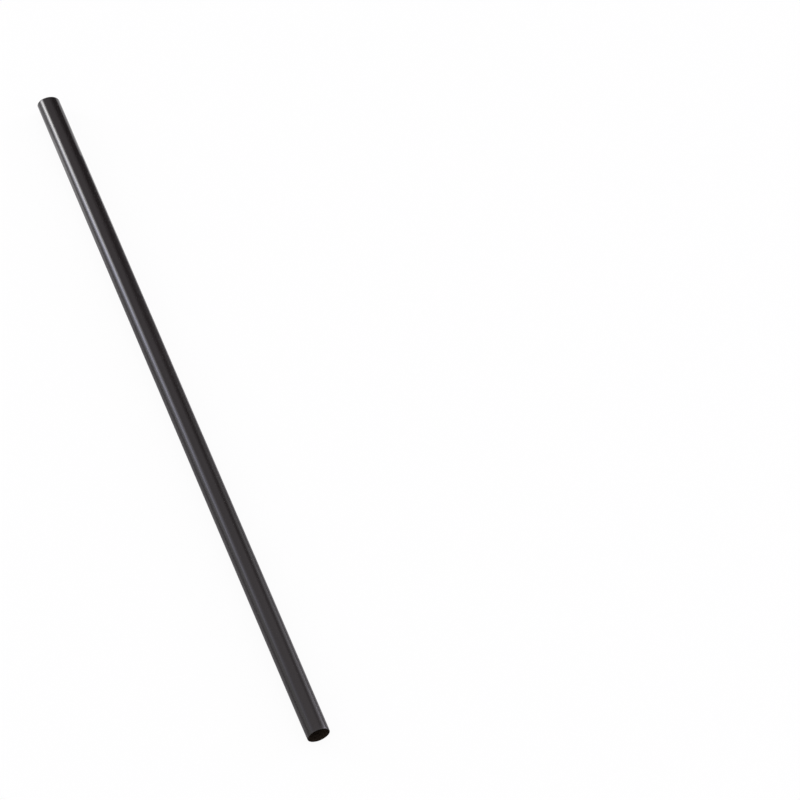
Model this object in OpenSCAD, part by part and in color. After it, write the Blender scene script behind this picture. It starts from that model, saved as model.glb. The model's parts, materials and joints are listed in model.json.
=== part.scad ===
// Straight drinking straw: one thin extruded tube, cut square at both ends.
// It lies along X on the plane Z = 0, with the middle of its length at X = 0.

/* [Tube] */
// Length from one cut end to the other
straw_length = 197; // [120:1:260]
// Outside diameter
outer_d = 5.8; // [4:0.1:12]
// Thickness of the wall
wall = 0.18; // [0.12:0.01:0.4]

/* [Hidden] */

outer_r = outer_d / 2;
inner_r = outer_r - wall;
// How far the hole's cutter runs past each cut end
cut_past = 1;
// Flat sides of each circle in a preview
facets = 96;

// A round bar along X, at the height of the lying straw's own axis
module lying_bar(radius, length) {
    translate([-length / 2, 0, outer_r])
        rotate([0, 90, 0])
            cylinder(r = radius, h = length, $fn = facets);
}

// The straw's wall, open from end to end
module straw_tube() {
    color("#232124")
        difference() {
            lying_bar(outer_r, straw_length);
            lying_bar(inner_r, straw_length + 2 * cut_past);
        }
}

straw_tube();
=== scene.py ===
# A straight black drinking straw lying on a white surface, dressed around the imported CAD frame
import json
import math

import bpy
import numpy as np
from mathutils import Matrix, Vector


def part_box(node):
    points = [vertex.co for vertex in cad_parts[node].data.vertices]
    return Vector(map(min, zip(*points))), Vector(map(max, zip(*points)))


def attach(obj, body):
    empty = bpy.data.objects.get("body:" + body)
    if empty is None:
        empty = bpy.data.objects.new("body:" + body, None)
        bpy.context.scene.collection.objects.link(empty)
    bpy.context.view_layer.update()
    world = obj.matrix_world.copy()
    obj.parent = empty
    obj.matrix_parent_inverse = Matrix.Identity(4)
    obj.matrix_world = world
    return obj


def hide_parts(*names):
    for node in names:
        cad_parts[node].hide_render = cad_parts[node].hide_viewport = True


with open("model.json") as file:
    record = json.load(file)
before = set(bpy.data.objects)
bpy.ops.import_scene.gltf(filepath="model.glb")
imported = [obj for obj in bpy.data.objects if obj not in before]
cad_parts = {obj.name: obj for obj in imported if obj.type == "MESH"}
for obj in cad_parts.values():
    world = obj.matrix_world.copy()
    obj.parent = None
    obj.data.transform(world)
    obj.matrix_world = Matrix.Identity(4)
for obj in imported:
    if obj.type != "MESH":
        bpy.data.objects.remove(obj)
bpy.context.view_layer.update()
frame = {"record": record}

scene = bpy.context.scene
tubeLow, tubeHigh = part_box("straw_tube")
boreMount = [mount for mount in frame["record"]["mounts"] if mount["name"] == "bore"][0]
print("frame loaded, the straw is %.1f mm long" % (1000 * (tubeHigh.x - tubeLow.x)))


# Camera, at the photograph's own place and turn

cameraView = {
    "place": (0.557448, -0.212296, 0.923546),
    "aim": (0.015157, 0.053380, 0.0),
    "roll": 5.680,  # degrees, the picture's top leans to the left
    "lens": 199.56,  # millimetres, as the sensor's width is
    "sensorWidth": 36,
    "seesFrom": 0.05,  # metres away
    "seesTo": 20,
}


def addCamera(view):
    # Its back points from the aim to the place and its right side is level, before the roll turns it
    back = (Vector(view["place"]) - Vector(view["aim"])).normalized()
    right = Vector((-back.y, back.x, 0)).normalized()
    up = back.cross(right)
    roll = math.radians(view["roll"])
    turnedRight = right * math.cos(roll) + up * math.sin(roll)
    turnedUp = up * math.cos(roll) - right * math.sin(roll)
    data = bpy.data.cameras.new("photoCamera")
    data.lens = view["lens"]
    data.sensor_width = view["sensorWidth"]
    data.sensor_fit = "HORIZONTAL"
    data.clip_start = view["seesFrom"]
    data.clip_end = view["seesTo"]
    camera = bpy.data.objects.new("photoCamera", data)
    scene.collection.objects.link(camera)
    axes = Matrix((turnedRight, turnedUp, back)).transposed()
    camera.matrix_world = Matrix.Translation(view["place"]) @ axes.to_4x4()
    scene.camera = camera


addCamera(cameraView)
print("camera placed")


# Small helpers for meshes and node trees


def meshFromGrid(name, points, wrapped):
    # points[row, column] is a place, and each four neighbours become one face. A wrapped grid joins on to
    # its start in both directions
    rows, columns = points.shape[:2]
    row = np.arange(rows if wrapped else rows - 1)[:, None]
    column = np.arange(columns if wrapped else columns - 1)[None, :]
    nextRow = (row + 1) % rows
    nextColumn = (column + 1) % columns
    corners = [
        row * columns + column,
        nextRow * columns + column,
        nextRow * columns + nextColumn,
        row * columns + nextColumn,
    ]
    faces = np.stack(corners, axis=-1).reshape(-1, 4)
    mesh = bpy.data.meshes.new(name)
    mesh.vertices.add(rows * columns)
    mesh.vertices.foreach_set("co", points.reshape(-1).astype(np.float32))
    mesh.loops.add(faces.size)
    mesh.loops.foreach_set("vertex_index", faces.reshape(-1).astype(np.int32))
    mesh.polygons.add(len(faces))
    mesh.polygons.foreach_set("loop_start", np.arange(0, faces.size, 4, dtype=np.int32))
    mesh.update(calc_edges=True)
    mesh.validate()
    piece = bpy.data.objects.new(name, mesh)
    scene.collection.objects.link(piece)
    return piece


def pointValue(piece, name, values):
    # One number for each vertex, which a material reads by its name
    attribute = piece.data.attributes.new(name, "FLOAT", "POINT")
    attribute.data.foreach_set("value", values.reshape(-1).astype(np.float32))


def smoothShade(piece):
    piece.data.polygons.foreach_set("use_smooth", np.ones(len(piece.data.polygons), bool))
    piece.data.update()


class Nodes:
    # A short way to write a node tree: add a node, set its sockets and link what is given as a socket
    def __init__(self, tree):
        self.tree = tree
        self.tree.nodes.clear()

    def add(self, kind, inputs=None, **settings):
        node = self.tree.nodes.new("ShaderNode" + kind)
        for key, value in settings.items():
            setattr(node, key, value)
        for key, value in (inputs or {}).items():
            if isinstance(value, bpy.types.NodeSocket):
                self.tree.links.new(value, node.inputs[key])
            else:
                node.inputs[key].default_value = value
        return node

    def math(self, operation, a, b=0.0):
        return self.add("Math", {0: a, 1: b}, operation=operation).outputs[0]

    def times(self, first, *others):
        for other in others:
            first = self.math("MULTIPLY", first, other)
        return first

    def span(self, value, fromLow, fromHigh, toLow, toHigh):
        # A straight rise from one span of numbers to another, held at both ends
        inputs = {"Value": value, "From Min": fromLow, "From Max": fromHigh}
        inputs.update({"To Min": toLow, "To Max": toHigh})
        return self.add("MapRange", inputs).outputs["Result"]

    def rise(self, value, edge, width):
        # 0 below the edge and 1 above it, in an S shape that is as wide as the width
        inputs = {"Value": value, "From Min": edge - 0.5 * width, "From Max": edge + 0.5 * width}
        return self.add("MapRange", inputs, interpolation_type="SMOOTHSTEP").outputs["Result"]

    def fall(self, value, edge, width):
        return self.math("SUBTRACT", 1.0, self.rise(value, edge, width))

    def blend(self, share, a, b):
        # From colour a at 0 to colour b at 1. Sockets 6 and 7 take the colours
        return self.add("Mix", {"Factor": share, 6: a, 7: b}, data_type="RGBA").outputs[2]


def newMaterial(name):
    material = bpy.data.materials.new(name)
    material.use_nodes = True
    return material, Nodes(material.node_tree)


def opaque(colour):
    return (*colour, 1.0)


# The straw's wall

strawShape = {
    "aroundSteps": 160,
    "middleSteps": 120,
    "firstStep": 0.00006,  # the step along the straw next to a cut
    "stepGrowth": 1.35,  # each further step from the cut is longer by this
    "endSteps": 11,
    "rimSteps": 5,  # steps over each rounded edge of a cut end
    "outerEdgeRound": 0.00005,
    "innerEdgeRound": 0.00003,
    "seed": 7,
    "ripple": 0.0000035,  # how far one wave from the take-up rollers narrows the straw
    "rippleWaves": 7,
    "rippleLengths": (0.009, 0.045),
    "rippleTurns": 3,  # a wave turns fewer times than this round the straw
    "oval": 0.004,  # share of the radius
    "ovalTwist": 9,  # radians over the straw's length, and the oval turns by half as much
    "endOval": 0.010,  # share of the radius that the knife presses in at each cut
    "endOvalPhase": 1.1,
    "endOvalReach": 0.004,
    "endCurl": 0.00003,  # how far the cut lets the wall draw in at the near end
    "endCurlReach": 0.0003,
    "scuffReach": 0.00025,  # how far the dull edge left by the knife runs along the outside
    "cutWave": 0.00003,  # how far a cut end's edge runs in and out
    "cutLean": 0.7,  # share of that in one wave round the edge
    "cutLeanPhase": 0.8,
    "cutJag": 0.3,  # and in several waves round it
    "cutJagWaves": 5,
    "cutJagPhase": 2.0,
    "cutWaveReach": 0.0008,
    "farSlant": 0.117,  # rise of the far end's slanting cut, for each length across the straw
    "farSlantReach": 0.002,
}


def wallSection(shape, halfLength, outerRadius, boreRadius):
    # One closed loop round the cut wall: out along the outside from -X to +X, over the cut edge with a
    # small quarter circle at each corner, back along the bore, and over the other cut edge
    fromCut = np.cumsum(shape["firstStep"] * shape["stepGrowth"] ** np.arange(shape["endSteps"]))
    outerRound = shape["outerEdgeRound"]
    innerRound = shape["innerEdgeRound"]

    def alongPlaces(half):
        middle = np.linspace(fromCut[-1] - half, half - fromCut[-1], shape["middleSteps"])
        return np.concatenate([[-half], fromCut[:-1] - half, middle, half - fromCut[-2::-1], [half]])

    outerX = alongPlaces(halfLength - outerRound)
    innerX = -alongPlaces(halfLength - innerRound)
    outerR = np.full(len(outerX), outerRadius)
    innerR = np.full(len(innerX), boreRadius)
    corner = np.linspace(0, math.pi / 2, shape["rimSteps"] + 1)[1:]
    rimOuterX = halfLength - outerRound * (1 - np.sin(corner))
    rimOuterR = outerRadius - outerRound * (1 - np.cos(corner))
    rimInnerX = halfLength - innerRound * (1 - np.cos(corner[:-1]))
    rimInnerR = boreRadius + innerRound * (1 - np.sin(corner[:-1]))
    faceLowR = boreRadius + innerRound
    faceMiddleR = 0.5 * (outerRadius - outerRound + faceLowR)
    rimX = np.concatenate([rimOuterX, [halfLength, halfLength], rimInnerX])
    rimR = np.concatenate([rimOuterR, [faceMiddleR, faceLowR], rimInnerR])
    x = np.concatenate([outerX, rimX, innerX, -rimX[::-1]])
    r = np.concatenate([outerR, rimR, innerR, rimR[::-1]])
    scuff = np.exp(-(halfLength - np.abs(outerX)) / shape["scuffReach"])
    cut = np.concatenate([scuff, np.ones(len(rimX)), np.zeros(len(innerX)), np.ones(len(rimX))])
    inside = (r < 0.5 * (outerRadius + boreRadius)).astype(float)
    return x, r, cut, inside


def wallRipple(shape, x, a):
    # The sum of a few waves 0.5 - 0.5 sin(2 pi x / length + start + turns * a)
    chance = np.random.default_rng(shape["seed"])
    count = shape["rippleWaves"]
    lengths = chance.uniform(*shape["rippleLengths"], count)
    starts = chance.uniform(0, 2 * math.pi, count)
    turns = chance.integers(0, shape["rippleTurns"], count)
    total = np.zeros(np.broadcast(x, a).shape)
    for length, start, turn in zip(lengths, starts, turns):
        total += 0.5 - 0.5 * np.sin(2 * math.pi * x / length + start + turn * a)
    return shape["ripple"] * total


def cutShift(shape, outerRadius, x, a, fromEnd):
    # How far the wall moves along X next to a cut: inwards by wave * (1 + lean * cos(a - phase) + jag *
    # sin(waves * a + phase)), and at the far end also by slant * R (1 + sin a). Both fade out with the
    # distance from the cut
    wave = 1 + shape["cutLean"] * np.cos(a - shape["cutLeanPhase"])
    wave = wave + shape["cutJag"] * np.sin(shape["cutJagWaves"] * a + shape["cutJagPhase"])
    wave = shape["cutWave"] * wave * np.exp(-fromEnd / shape["cutWaveReach"])
    slant = shape["farSlant"] * outerRadius * (1 + np.sin(a))
    slant = slant * np.exp(-fromEnd / shape["farSlantReach"])
    return slant * (x < 0) - np.sign(x) * wave


def strawSurface(shape, halfLength, outerRadius, boreRadius):
    # The section carried once round the axis: (x, r sin a, R + r cos a). The radius loses a slow ripple
    # along the length, an oval that turns with the length, a flat that the knife presses in near each cut,
    # and a small curl at the near end. Next to each cut, x moves by the cut's shift
    x, r, cut, inside = wallSection(shape, halfLength, outerRadius, boreRadius)
    x = x[:, None]
    a = np.arange(shape["aroundSteps"])[None, :] * 2 * math.pi / shape["aroundSteps"]
    fromEnd = halfLength - np.abs(x)
    oval = shape["oval"] * (0.5 - 0.5 * np.cos(2 * a - shape["ovalTwist"] * x / (2 * halfLength)))
    pressed = shape["endOval"] * (0.5 - 0.5 * np.cos(2 * a + shape["endOvalPhase"]))
    pressed = pressed * np.exp(-fromEnd / shape["endOvalReach"])
    curl = shape["endCurl"] * np.exp(-fromEnd / shape["endCurlReach"]) * (x > 0)
    radius = r[:, None] * (1 - oval - pressed) - wallRipple(shape, x, a) - curl
    places = np.stack([
        x + cutShift(shape, outerRadius, x, a, fromEnd),
        radius * np.sin(a),
        outerRadius + radius * np.cos(a),
    ], axis=-1)
    ones = np.ones_like(a)
    return places, cut[:, None] * ones, inside[:, None] * ones


halfLength = 0.5 * (tubeHigh.x - tubeLow.x)
outerRadius = 0.5 * (tubeHigh.z - tubeLow.z)
boreRadius = boreMount["dims"]["r_mm"] / 1000
wallPlaces, cutShare, insideShare = strawSurface(strawShape, halfLength, outerRadius, boreRadius)
straw = meshFromGrid("extruded_straw", wallPlaces, True)
pointValue(straw, "cutFace", cutShare)
pointValue(straw, "boreSide", insideShare)
smoothShade(straw)
print("straw wall made, %d faces" % len(straw.data.polygons))


# Black extruded plastic

plasticLook = {
    "deepBlack": (0.0088, 0.0068, 0.0066),
    "softBlack": (0.0120, 0.0095, 0.0092),
    "cutBlack": (0.0120, 0.0098, 0.0094),
    # painted light: a black about three times lighter for the bore, standing in for light that reaches into
    # the mouth
    "borePaintedLight": (0.028, 0.021, 0.016),
    "ior": 1.49,
    "smoothest": 0.12,
    "roughest": 0.18,
    "cutRoughness": 0.30,  # added on a cut end
    "boreRoughness": 0.06,  # added inside
    "noiseRoughness": 0.55,
    "dieLineWidth": 0.00022,
    "dieLineRun": 0.12,
    "dieLineDetail": 2.0,
    "dieLineDepth": 0.0000012,
    "dieLineShare": 0.5,  # their share in the roughness, and the bands have the rest
    "bandWidth": 0.0014,
    "bandRun": 0.05,
    "bandDetail": 1.0,
    "bandSpan": (0.35, 0.65),  # the noise that goes from one black to the other
    "roughSpan": (0.36, 0.64),  # the noise that goes from the smoothest to the roughest
    "grainWidth": 0.00012,
    "grainDetail": 1.0,
    "grainDepth": 0.00000025,
}


def blackPlastic(look):
    # Lines along the tube from the die, broad soft bands, a fine grain, and a duller face at each cut. The
    # bore
    # gets a lighter black: painted light standing in for light that reaches into the mouth
    material, nodes = newMaterial("blackExtrudedPlastic")
    place = nodes.add("TexCoord").outputs["Object"]

    def stretched(width, run, detail):
        scale = (1 / run, 1 / width, 1 / width)
        vector = nodes.add("Mapping", {"Vector": place, "Scale": scale}).outputs["Vector"]
        inputs = {"Vector": vector, "Scale": 1.0, "Detail": detail, "Roughness": look["noiseRoughness"]}
        return nodes.add("TexNoise", inputs).outputs["Fac"]

    dieLines = stretched(look["dieLineWidth"], look["dieLineRun"], look["dieLineDetail"])
    bands = stretched(look["bandWidth"], look["bandRun"], look["bandDetail"])
    grain = stretched(look["grainWidth"], look["grainWidth"], look["grainDetail"])
    cutFace = nodes.add("Attribute", attribute_name="cutFace").outputs["Fac"]
    boreSide = nodes.add("Attribute", attribute_name="boreSide").outputs["Fac"]

    bandShare = nodes.span(bands, *look["bandSpan"], 0.0, 1.0)
    colour = nodes.blend(bandShare, opaque(look["deepBlack"]), opaque(look["softBlack"]))
    # painted light inside the bore
    colour = nodes.blend(boreSide, colour, opaque(look["borePaintedLight"]))
    colour = nodes.blend(cutFace, colour, opaque(look["cutBlack"]))

    lineShare = nodes.times(dieLines, look["dieLineShare"])
    mixed = nodes.math("ADD", lineShare, nodes.times(bands, 1 - look["dieLineShare"]))
    roughness = nodes.span(mixed, *look["roughSpan"], look["smoothest"], look["roughest"])
    roughness = nodes.math("ADD", roughness, nodes.times(cutFace, look["cutRoughness"]))
    roughness = nodes.math("ADD", roughness, nodes.times(boreSide, look["boreRoughness"]))

    grainBump = nodes.add("Bump", {"Strength": 1.0, "Distance": look["grainDepth"], "Height": grain})
    inputs = {
        "Strength": 1.0,
        "Distance": look["dieLineDepth"],
        "Height": dieLines,
        "Normal": grainBump.outputs["Normal"],
    }
    lineBump = nodes.add("Bump", inputs)
    inputs = {
        "Base Color": colour,
        "Roughness": roughness,
        "IOR": look["ior"],
        "Normal": lineBump.outputs["Normal"],
    }
    shader = nodes.add("BsdfPrincipled", inputs)
    nodes.add("OutputMaterial", {"Surface": shader.outputs["BSDF"]})
    return material


straw.data.materials.append(blackPlastic(plasticLook))
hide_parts("straw_tube")
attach(straw, "root")
print("straw dressed in black plastic")


# Floor and sky


def levelSheet(name, halfSide, steps, height, facesDown):
    # (x, y, height) over a square, with x mirrored in a sheet that faces down
    side = np.linspace(-halfSide, halfSide, steps + 1)
    x, y = np.meshgrid(-side if facesDown else side, side, indexing="ij")
    sheet = meshFromGrid(name, np.stack([x, y, 0 * x + height], axis=-1), False)
    return sheet


def seenBy(nodes):
    # Two numbers: 1 for a ray from the camera or through a clear surface, and 1 for one off a glossy one
    path = nodes.add("LightPath").outputs
    return nodes.math("MAXIMUM", path["Is Camera Ray"], path["Is Transmission Ray"]), path["Is Glossy Ray"]


floorLook = {
    "halfSide": 4.0,
    "steps": 2,  # faces along each side
    "colour": (0.90, 0.90, 0.90),
    "roughness": 0.6,
    "ior": 1.45,
    "whiteSeen": 0.93,  # share of plain white in what the camera sees, and the rest takes the shadow
    # Painted light and shade in reflections: for glossy rays the floor glows at a level of its own, bright
    # beyond the far end, dark near the near end, and brighter in a painted caustic strip on each side of
    # the straw
    "whiteReflected": 0.5,  # the same in reflections, where the white has a level of its own
    "levelFar": 1.5,  # that level beyond the straw's far end
    "levelNear": 0.17,
    "levelMiddle": -0.078,  # the place along X where it is half way
    "levelWidth": 0.12,
    "paintedCausticGain": 2.2,  # how much more it is in a strip on each side, lit by the straw's own gloss
    "besideMiddle": 0.0085,  # from the straw's axis
    "besideWidth": 0.003,
    "besideEnd": -0.092,  # where the strips begin along X
    "besideFade": 0.012,
}


def paintedReflectionLevel(nodes, look):
    # Painted light and shade in the floor's reflections: levelFar to levelNear in an S shape along X, times
    # 1 + the caustic gain * exp(-((|y| - besideMiddle) / besideWidth) ** 2) where x is past besideEnd, a
    # painted caustic strip
    place = nodes.add("SeparateXYZ", {0: nodes.add("TexCoord").outputs["Object"]}).outputs
    nearness = nodes.rise(place["X"], look["levelMiddle"], look["levelWidth"])
    level = nodes.span(nearness, 0.0, 1.0, look["levelFar"], look["levelNear"])
    apart = nodes.math("SUBTRACT", nodes.math("ABSOLUTE", place["Y"]), look["besideMiddle"])
    apart = nodes.math("DIVIDE", apart, look["besideWidth"])
    strip = nodes.math("EXPONENT", nodes.times(apart, apart, -1.0))
    strip = nodes.times(strip, nodes.rise(place["X"], look["besideEnd"], look["besideFade"]))
    return nodes.times(level, nodes.span(strip, 0.0, 1.0, 1.0, 1 + look["paintedCausticGain"]))


def whiteFloor(look):
    # A share of glowing white over a matt white, so that the rest still takes light and shadow. In
    # reflections the glow is painted light and shade, graded along X and brighter in a strip beside the
    # straw
    material, nodes = newMaterial("whiteFloor")
    matt = {"Base Color": opaque(look["colour"]), "Roughness": look["roughness"], "IOR": look["ior"]}
    straight, glossy = seenBy(nodes)
    # painted light and shade: the glow's strength for glossy rays
    strength = nodes.math("ADD", straight, nodes.times(glossy, paintedReflectionLevel(nodes, look)))
    glow = nodes.add("Emission", {"Color": opaque((1, 1, 1)), "Strength": strength})
    share = nodes.times(straight, look["whiteSeen"])
    share = nodes.math("ADD", share, nodes.times(glossy, look["whiteReflected"]))
    inputs = {0: share, 1: nodes.add("BsdfPrincipled", matt).outputs[0], 2: glow.outputs[0]}
    nodes.add("OutputMaterial", {"Surface": nodes.add("MixShader", inputs).outputs[0]})
    return material


floor = levelSheet("floor", floorLook["halfSide"], floorLook["steps"], 0.0, False)
floor.data.materials.append(whiteFloor(floorLook))

skyLook = {
    "light": 0.74,
    "seen": 1.0,  # the camera and reflections see this in its place
}


def addSky(look):
    world = bpy.data.worlds.new("studioWorld")
    world.use_nodes = True
    scene.world = world
    nodes = Nodes(world.node_tree)
    seen = nodes.math("MAXIMUM", *seenBy(nodes))
    strength = nodes.span(seen, 0.0, 1.0, look["light"], look["seen"])
    background = nodes.add("Background", {"Color": opaque((1, 1, 1)), "Strength": strength})
    nodes.add("OutputWorld", {"Surface": background.outputs[0]})


addSky(skyLook)
print("floor and sky placed")


# Soft light from above, brighter towards the near end

overheadSoftbox = {
    "halfSide": 1.7,
    "steps": 1,
    "height": 1.0,
    "farStrength": 0.67,
    "nearStrength": 1.00,
    "middle": -0.52,  # the place along X where the strength is half way
    "width": 0.7,
    "colour": (1.02, 0.965, 1.015),
}


def addOverhead(name, values):
    # It lights only on its lower side, from farStrength to nearStrength in an S shape along X
    panel = levelSheet(name, values["halfSide"], values["steps"], values["height"], True)
    panel.visible_camera = False
    material, nodes = newMaterial(name)
    panel.data.materials.append(material)
    front = nodes.math("SUBTRACT", 1.0, nodes.add("NewGeometry").outputs["Backfacing"])
    along = nodes.add("SeparateXYZ", {0: nodes.add("TexCoord").outputs["Object"]}).outputs["X"]
    nearness = nodes.rise(along, values["middle"], values["width"])
    strength = nodes.span(nearness, 0.0, 1.0, values["farStrength"], values["nearStrength"])
    inputs = {"Color": opaque(values["colour"]), "Strength": nodes.times(front, strength)}
    nodes.add("OutputMaterial", {"Surface": nodes.add("Emission", inputs).outputs[0]})


addOverhead("overheadSoftbox", overheadSoftbox)
print("overhead softbox placed")


# Upright light panels and dark cards


def uprightPanel(name, values):
    # distance * outward + side * level + height * upward, for each pair of a side number and a height.
    # The direction counts in degrees from +X towards +Y, and side numbers run to the right as seen from the
    # straw
    direction = math.radians(values["direction"])
    outward = np.array([math.cos(direction), math.sin(direction), 0])
    level = np.array([math.sin(direction), -math.cos(direction), 0])
    upward = np.array([0, 0, 1.0])
    side = np.linspace(*values["sides"], 2)[:, None, None]
    height = np.linspace(*values["heights"], 2)[None, :, None]
    panel = meshFromGrid(name, values["distance"] * outward + side * level + height * upward, False)
    panel.visible_camera = False
    material, nodes = newMaterial(name)
    panel.data.materials.append(material)
    place = nodes.add("TexCoord").outputs["Object"]
    side = nodes.add("VectorMath", {0: place, 1: tuple(level)}, operation="DOT_PRODUCT").outputs["Value"]
    height = nodes.add("SeparateXYZ", {0: place}).outputs["Z"]
    return panel, nodes, side, height


# What is lit is a band about a middle height, which rises by the lean for each metre to the left. The
# light fades above and below it. Along the panel it rises up to fullFrom, and ends softly about endSide
lightPanels = {
    "leftSoftbox": {
        "direction": 222.3,
        "distance": 0.64,
        "sides": (-0.45, 0.20),
        "heights": (0.002, 0.95),
        "litMiddle": 0.11,
        "lean": 1.00,
        "fadeAbove": 0.163,
        "fadeBelow": 0.13,
        "peak": 1.22,  # 2 is a bell shape, less is more pointed
        "fullFrom": -0.021,
        "fade": 0.067,
        "endSide": -0.018,
        "endFade": 0.06,
        "strength": 31.4,
        "fullColour": (1.0, 0.99, 0.965),
        "fallenColour": (0.965, 0.98, 1.24),
        "colourSpan": (0.30, 0.57),  # the shares of the full light that it changes between
    },
    "rightStrip": {
        "direction": 143.0,
        "distance": 0.70,
        "sides": (0.34, 1.00),
        "heights": (0.002, 0.52),
        "litMiddle": 0.0,
        "lean": 0.0,
        "fadeAbove": 0.50,
        "fadeBelow": 0.50,
        "peak": 12.0,
        "fullFrom": 0.57,
        "fade": 0.067,
        "endSide": 0.95,
        "endFade": 0.06,
        "strength": 7.2,
        "fullColour": (0.99, 0.945, 1.14),
        "fallenColour": (0.99, 0.945, 1.14),
        "colourSpan": (0.30, 0.57),
    },
}


def addLightPanel(name, values):
    # strength * exp(-(distance from the middle height / its fade) ** peak) * exp((side - fullFrom) / fade),
    # the last only where the side number is below fullFrom, and all times the soft end. The light adds to
    # what stands behind the panel
    panel, nodes, side, height = uprightPanel(name, values)
    middle = nodes.math("SUBTRACT", values["litMiddle"], nodes.times(side, values["lean"]))
    above = nodes.math("SUBTRACT", height, middle)
    upward = nodes.math("DIVIDE", nodes.math("MAXIMUM", above, 0.0), values["fadeAbove"])
    downward = nodes.math("DIVIDE", nodes.math("MINIMUM", above, 0.0), -values["fadeBelow"])
    fading = nodes.math("POWER", nodes.math("ADD", upward, downward), values["peak"])
    before = nodes.math("MINIMUM", nodes.math("SUBTRACT", side, values["fullFrom"]), 0.0)
    falling = nodes.math("DIVIDE", before, values["fade"])
    ending = nodes.fall(side, values["endSide"], values["endFade"])
    strength = nodes.math("EXPONENT", nodes.math("SUBTRACT", falling, fading))
    strength = nodes.times(strength, ending, values["strength"])
    fullness = nodes.span(nodes.math("EXPONENT", falling), *values["colourSpan"], 0.0, 1.0)
    colour = nodes.blend(fullness, opaque(values["fallenColour"]), opaque(values["fullColour"]))
    glow = nodes.add("Emission", {"Color": colour, "Strength": strength})
    clear = nodes.add("BsdfTransparent")
    both = nodes.add("AddShader", {0: glow.outputs[0], 1: clear.outputs[0]})
    nodes.add("OutputMaterial", {"Surface": both.outputs[0]})


# Only reflections see the dark cards, so each paints shade into reflections alone: painted dark reflections
# on the straw's sides, and the low one a painted band of shade beside it. A card is whole below topHeight
# and before endSide, with soft edges
paintedShadeCards = {
    # painted shade: a tall dark sheet back right that darkens the straw's right side in reflections only
    "backRightPaintedShadeCard": {
        "direction": 143.0,
        "distance": 0.70,
        "sides": (-0.95, 0.56),
        "heights": (0.002, 1.03),
        "endSide": 0.308,
        "endFade": 0.23,
        "topHeight": 0.737,
        "topFade": 0.783,
        "colour": (0.12, 0.12, 0.12),
    },
    # painted shade: a low sheet 10 mm beside the straw that darkens its flank in reflections only, standing
    # in for shade beside it
    "lowPaintedShadeCard": {
        "direction": 90.0,
        "distance": 0.010,
        "sides": (-0.084, 0.10),
        "heights": (0.0, 0.0055),
        "endSide": 0.017,
        "endFade": 0.123,
        "topHeight": 0.02,
        "topFade": 0.001,
        "colour": (0.34, 0.33, 0.33),
    },
}


def addPaintedShadeCard(name, values):
    # A matt card that only reflections see, painting shade into them, and that clears towards its top and
    # its end
    panel, nodes, side, height = uprightPanel(name, values)
    panel.visible_diffuse = False
    panel.visible_shadow = False
    low = nodes.fall(height, values["topHeight"], values["topFade"])
    cover = nodes.times(low, nodes.fall(side, values["endSide"], values["endFade"]))
    dark = nodes.add("BsdfDiffuse", {"Color": opaque(values["colour"])})
    inputs = {0: cover, 1: nodes.add("BsdfTransparent").outputs[0], 2: dark.outputs[0]}
    nodes.add("OutputMaterial", {"Surface": nodes.add("MixShader", inputs).outputs[0]})


for name, values in lightPanels.items():
    addLightPanel(name, values)
for name, values in paintedShadeCards.items():
    addPaintedShadeCard(name, values)
scene.view_settings.view_transform = "Standard"
print("%d light panels and %d dark cards placed" % (len(lightPanels), len(paintedShadeCards)))
